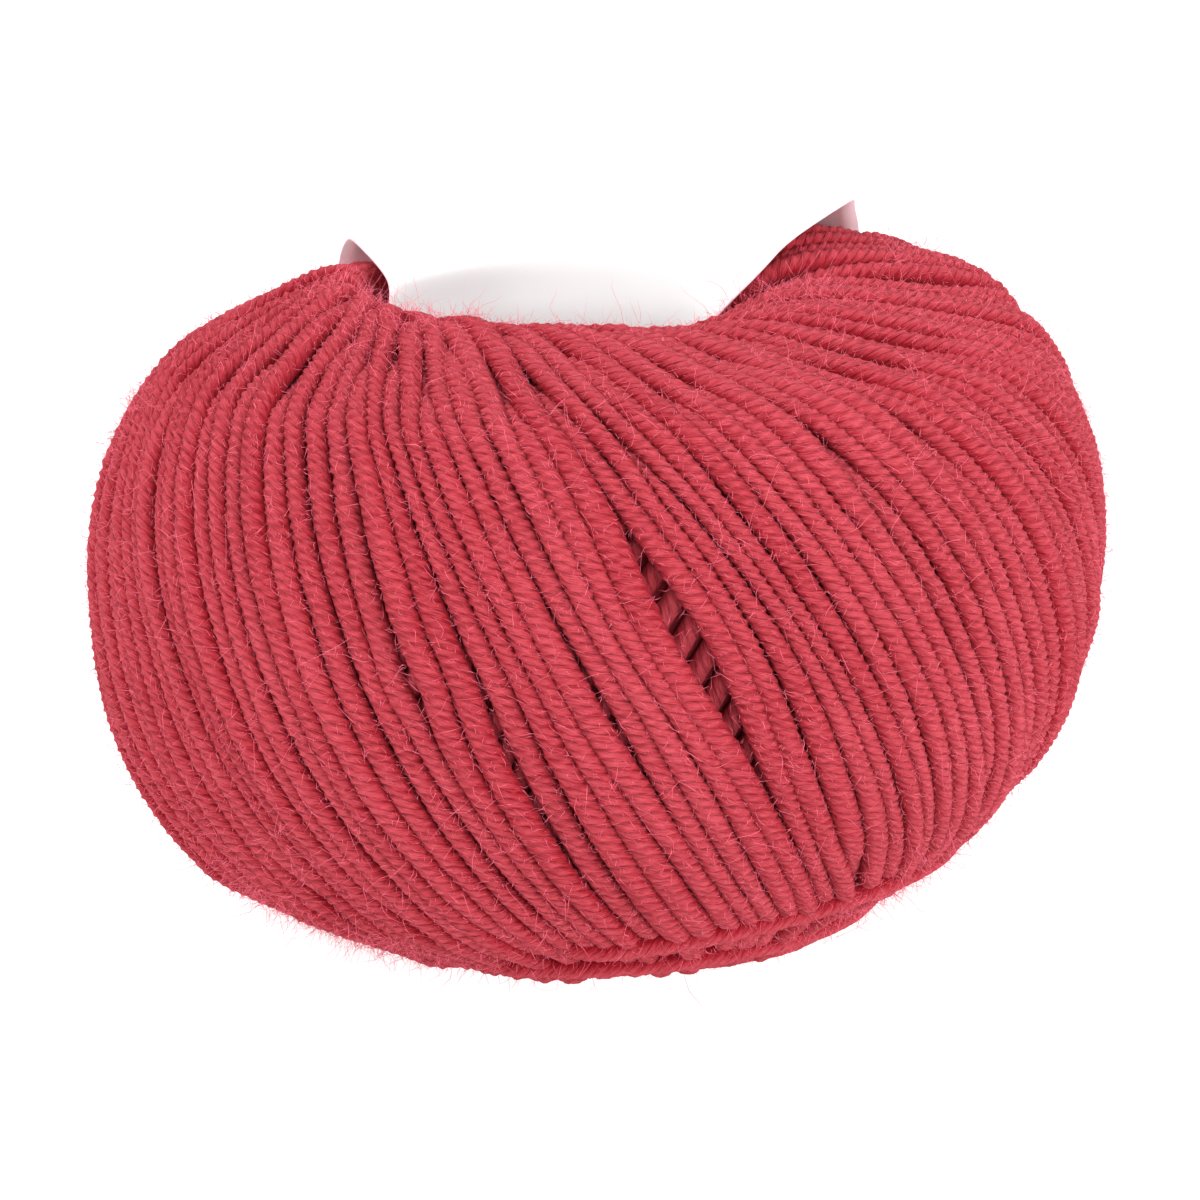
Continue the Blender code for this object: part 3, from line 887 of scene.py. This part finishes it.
def band_points():
    """Points of the thin sheet: the band's middle surface, with its edges as they stand.

    Each flare is a bell curve along the band, times an S-curve that starts half way
    out to an edge. It moves that edge sideways, up or into the wool.
    """
    points = paper_surface(BAND_STEPS, BAND_ACROSS)
    points[..., 2] = np.maximum(points[..., 2], 0.5 * CAD_PAPER_THICKNESS)
    inward = normalised(np.cross(slope_round(points), np.gradient(points, axis=1)))
    points = points + BAND_INWARD * inward
    place = np.arange(BAND_STEPS)[:, None] * (len(PAPER_LOOP) / BAND_STEPS)
    across = np.linspace(-1.0, 1.0, BAND_ACROSS + 1)[None, :]
    left, right = (
        smooth_step((side - FLARE_START) / (1.0 - FLARE_START)) for side in (-across, across)
    )
    for flare in rows_of(FLARES, FLARE_COLUMNS):
        near = np.exp(-(((place - flare["row"]) / flare["rows"]) ** 2))
        points[..., 0] += near * (flare["left"] * left + flare["right"] * right)
        points[..., 2] += near * flare["rise_left"] * left
        points += (near * flare["sink_right"] * right)[..., None] * inward
    return points


# ---- Settings
class YarnBallSettings(bpy.types.PropertyGroup):
    """Sizes and colours of the yarn and its band"""

    strands: bpy.props.IntProperty(
        name="Strands", description="Outer strands round the ball", default=118, min=20, max=300
    )
    strand_thickness: bpy.props.FloatProperty(
        name="Strand thickness", description="Across a strand that lies free",
        default=0.0024, unit="LENGTH",
    )
    plies: bpy.props.IntProperty(
        name="Plies", description="Plies in a strand", default=6, min=2, max=12
    )
    twist_length: bpy.props.FloatProperty(
        name="Twist length", description="Length of one full turn of the plies",
        default=0.0062, unit="LENGTH",
    )
    crossing_strands: bpy.props.IntProperty(
        name="Crossing strands", description="Strands of the layer below",
        default=96, min=10, max=300,
    )
    fibres: bpy.props.IntProperty(
        name="Fibres", description="Loose fibres that stand off the yarn",
        default=40500, min=0, max=60000,
    )
    fibre_length: bpy.props.FloatProperty(
        name="Fibre length", description="Average length of a loose fibre",
        default=0.0018, unit="LENGTH",
    )
    # The wool's tone runs between these two colours. The dark one is also the colour of the painted
    # shade between plies and between strands, the light one also that of the painted light on the
    # plies' crowns
    wool_light: bpy.props.FloatVectorProperty(
        name="Wool, light", description="Colour of the plies' crowns",
        default=(0.61, 0.083, 0.108), subtype="COLOR",
    )
    wool_dark_and_painted_shade: bpy.props.FloatVectorProperty(
        name="Wool, dark", description="Colour between the plies",
        default=(0.31, 0.006, 0.015), subtype="COLOR",
    )
    fibre_colour: bpy.props.FloatVectorProperty(
        name="Fibre", description="Colour of the loose fibres",
        default=(0.88, 0.17, 0.24), subtype="COLOR",
    )
    paper_colour: bpy.props.FloatVectorProperty(
        name="Paper", description="Colour of the band",
        default=(0.82, 0.82, 0.82), subtype="COLOR",
    )
    # Painted light: the inner side's pink is painted reflected light from the red wool, with
    # painted shade, on the side that faces the wool
    paper_inside_painted_bounce: bpy.props.FloatVectorProperty(
        name="Paper inside", description="Colour of the band's inner side",
        default=(0.90, 0.68, 0.72), subtype="COLOR",
    )
    paper_thickness: bpy.props.FloatProperty(
        name="Paper thickness", description="Thickness of the band",
        default=0.0002, unit="LENGTH",
    )


def ball_settings():
    """The settings as they stand in the scene."""
    return bpy.context.scene.yarn_ball


def strand_turn(run, values):
    """Angle that the plies have turned after each length run."""
    return run * (2.0 * math.pi / values.twist_length)


def painted_turn(run, values):
    """Shift of the UV map, in plies, that shows the turn on a strand with a round section."""
    return -strand_turn(run, values) * (values.plies / (2.0 * math.pi))


def dress(made, *materials, slot="wool", node_name="yarn_ball"):
    """Gives a piece its materials and its body, and hides the imported solid of the node it stands
    for. The slot is not used.
    """
    for material in materials:
        made.data.materials.append(material)
    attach(made, "root")
    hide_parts(node_name)


# ---- Operators
SIDES = ("right", "back", "left", "front")


class YARN_OT_strands(bpy.types.Operator):
    """Lay the outer strands, in four pieces round the ball"""

    bl_idname = "yarn.strands"
    bl_label = "Outer strands"

    def execute(self, context):
        values = ball_settings()
        random = np.random.default_rng(SEED)
        laid = outer_strands(values, random)
        tone = random.normal(0.0, TONE_SPREAD, values.strands)
        wool = wool_material("wool_outer", values)
        middle = laid["centres"][:, RINGS // 2]
        angle = np.arctan2(middle[:, 1] - BALL_CENTRE[1], middle[:, 0] - BALL_CENTRE[0])
        quarter = (np.degrees(angle) + 45.0) % 360.0 // 90.0
        turn = strand_turn(laid["run"], values)
        section = ply_section(values.strands, RINGS, random, values.plies)
        for number, side in enumerate(SIDES):
            own = quarter == number
            strands = {name: array[own] for name, array in laid.items()}
            made = tubes_object("strands_" + side, strands, section[own], tone[own], turn[own])
            dress(made, wool)
        return {"FINISHED"}


class YARN_OT_under(bpy.types.Operator):
    """Lay the strands that run round the ball's foot, over the ends of the others"""

    bl_idname = "yarn.under"
    bl_label = "Strands round the foot"

    def execute(self, context):
        values = ball_settings()
        random = np.random.default_rng(SEED + 4)
        laid = foot_strands(values)
        section = ply_section(len(FOOT), FOOT_RINGS, random, values.plies)
        tone = random.normal(0.0, TONE_SPREAD, len(FOOT))
        turn = strand_turn(laid["run"], values)
        made = tubes_object("strands_foot", laid, section, tone, turn)
        dress(made, wool_material("wool_foot", values))
        return {"FINISHED"}


class YARN_OT_crossing(bpy.types.Operator):
    """Lay the strands of the layer below, which slant the other way"""

    bl_idname = "yarn.crossing"
    bl_label = "Crossing strands"

    def execute(self, context):
        values = ball_settings()
        random = np.random.default_rng(SEED + 1)
        laid = crossing_strands(values, random)
        tone = random.normal(-0.05, TONE_SPREAD, values.crossing_strands)
        shift = painted_turn(laid["run"], values)
        made = tubes_object("strands_below", laid, np.ones(CROSSING_COLUMNS), tone, ply_shift=shift)
        # 0.95: painted shade on the layer below, which lies under the outer strands
        dress(made, wool_material("wool_below", values, 0.95))
        return {"FINISHED"}


class YARN_OT_core(bpy.types.Operator):
    """Fill the ball below the strands and line its hole with wound strands"""

    bl_idname = "yarn.core"
    bl_label = "Core and hole lining"

    def execute(self, context):
        values = ball_settings()
        core = grid_object("core", core_points(), True, True)
        # 0.75: painted shade on the core, which lies in shade under the strands
        dress(core, wool_material("wool_core", values, 0.75))

        random = np.random.default_rng(SEED + 2)
        laid = lining_strands(values, random)
        tone = random.normal(-0.04, TONE_SPREAD, LINING_STRANDS)
        shift = painted_turn(laid["run"], values)
        lining = tubes_object("hole_lining", laid, np.ones(LINING_COLUMNS), tone, ply_shift=shift)
        dress(lining, wool_material("wool_lining", values))
        return {"FINISHED"}


class YARN_OT_fuzz(bpy.types.Operator):
    """Raise the fine loose fibres off the outer strands"""

    bl_idname = "yarn.fuzz"
    bl_label = "Loose fibres"

    def execute(self, context):
        values = ball_settings()
        laid = outer_strands(values, np.random.default_rng(SEED))
        random = np.random.default_rng(SEED + 3)
        material = fibre_material(values.fibre_colour)
        for kind in rows_of(FUZZ, FUZZ_COLUMNS):
            root, along, out = fibre_roots(laid, kind, int(kind["share"] * values.fibres), random)
            line = fibre_lines(root, along, out, kind, values.fibre_length, random)
            frames = strand_frames(line, np.broadcast_to(out[:, None], line.shape))
            fibres = {name: array[:, 1:-1] for name, array in frames.items()}
            taper = np.linspace(1.0, FIBRE_TIP, kind["points"] - 2)[None, :]
            thick = taper * random.uniform(0.5, 1.0, (len(root), 1)) * kind["thickest"]
            fibres |= {"half_width": thick, "half_height": thick}
            tone, tips = np.zeros(len(root)), line[:, (0, -1)]
            made = tubes_object(kind["name"], fibres, np.ones(3), tone, tips=tips, painted_shade=0.0)
            dress(made, material)
        return {"FINISHED"}


class YARN_OT_band(bpy.types.Operator):
    """Wrap the paper band through the hole and round the back"""

    bl_idname = "yarn.band"
    bl_label = "Paper band"

    def execute(self, context):
        values = ball_settings()
        made = grid_object("paper_band_sheet", band_points(), True, False)
        thickness = made.modifiers.new("thickness", "SOLIDIFY")
        thickness.thickness = values.paper_thickness
        thickness.offset = 0.0
        thickness.material_offset = 1
        outside = paper_material("paper_outside", values.paper_colour, 0.5)
        # The inner side takes the painted reflected light and shade from the wool
        inside = paper_material("paper_inside_painted_bounce", values.paper_inside_painted_bounce, 0.0)
        dress(made, inside, outside, slot="paper", node_name="paper_band")
        return {"FINISHED"}


def looking(along):
    """Rotation of a lamp or camera that looks along a vector."""
    return along.to_track_quat("-Z", "Y").to_euler()


class YARN_OT_stage(bpy.types.Operator):
    """Set the pale floor, the soft light and the camera"""

    bl_idname = "yarn.stage"
    bl_label = "Stage"

    def execute(self, context):
        scene, white = context.scene, (1.0, 1.0, 1.0, 1.0)
        side = np.linspace(-FLOOR_HALF_SIDE, FLOOR_HALF_SIDE, FLOOR_POINTS)
        x, y = np.meshgrid(side, side, indexing="xy")
        floor = grid_object("floor", np.stack((x, y, 0.0 * x), -1), False, False)
        floor.data.flip_normals()
        made, tree, shader = new_material("floor")
        sockets = [
            ("Base Color", shade(white, FLOOR_ALBEDO)),
            ("Roughness", 0.9),
            ("Specular IOR Level", 0.0),
            ("Emission Color", white),
            ("Emission Strength", FLOOR_LIGHT),
        ]
        fill(tree, shader, sockets)
        floor.data.materials.append(made)

        scene.world = bpy.data.worlds.new("white_room")
        scene.world.use_nodes = True
        tree = scene.world.node_tree
        fill(tree, tree.nodes["Background"], [("Color", white), ("Strength", WORLD_LIGHT)])
        for lamp in rows_of(LAMPS, LAMP_COLUMNS):
            light = bpy.data.lights.new(lamp["name"], "AREA")
            light.size, light.energy = lamp["size"], lamp["power"]
            made = bpy.data.objects.new(lamp["name"], light)
            made.location = lamp["place"]
            made.rotation_euler = looking(Vector(LAMP_TARGET) - Vector(lamp["place"]))
            scene.collection.objects.link(made)

        height = math.radians(CAMERA_ELEVATION)
        away = Vector((0.0, -math.cos(height), math.sin(height)))
        data = bpy.data.cameras.new("camera")
        data.sensor_width = SENSOR
        data.lens = SENSOR * CAMERA_DISTANCE / SEEN_WIDTH
        data.clip_start = 0.01
        camera = bpy.data.objects.new("camera", data)
        camera.location = Vector(CAMERA_TARGET) + CAMERA_DISTANCE * away
        camera.rotation_euler = looking(-away)
        scene.collection.objects.link(camera)
        scene.camera = camera
        scene.view_settings.view_transform = "Standard"
        return {"FINISHED"}


class YARN_PT_panel(bpy.types.Panel):
    """Lists the settings and the steps"""

    bl_label = "Ball of yarn"
    bl_idname = "YARN_PT_panel"
    bl_space_type = "VIEW_3D"
    bl_region_type = "UI"
    bl_category = "Yarn"

    def draw(self, context):
        layout = self.layout
        for name in YarnBallSettings.__annotations__:
            layout.prop(context.scene.yarn_ball, name)
        for step in STEPS:
            layout.operator(step.bl_idname)


STEPS = (
    YARN_OT_stage,
    YARN_OT_strands,
    YARN_OT_under,
    YARN_OT_crossing,
    YARN_OT_core,
    YARN_OT_fuzz,
    YARN_OT_band,
)
CLASSES = (YarnBallSettings, *STEPS, YARN_PT_panel)


def register():
    for item in CLASSES:
        bpy.utils.register_class(item)
    bpy.types.Scene.yarn_ball = bpy.props.PointerProperty(type=YarnBallSettings)


def unregister():
    del bpy.types.Scene.yarn_ball
    for item in reversed(CLASSES):
        bpy.utils.unregister_class(item)


def main():
    register()
    for step in STEPS:
        group, name = step.bl_idname.split(".")
        getattr(getattr(bpy.ops, group), name)()


if __name__ == "__main__":
    main()
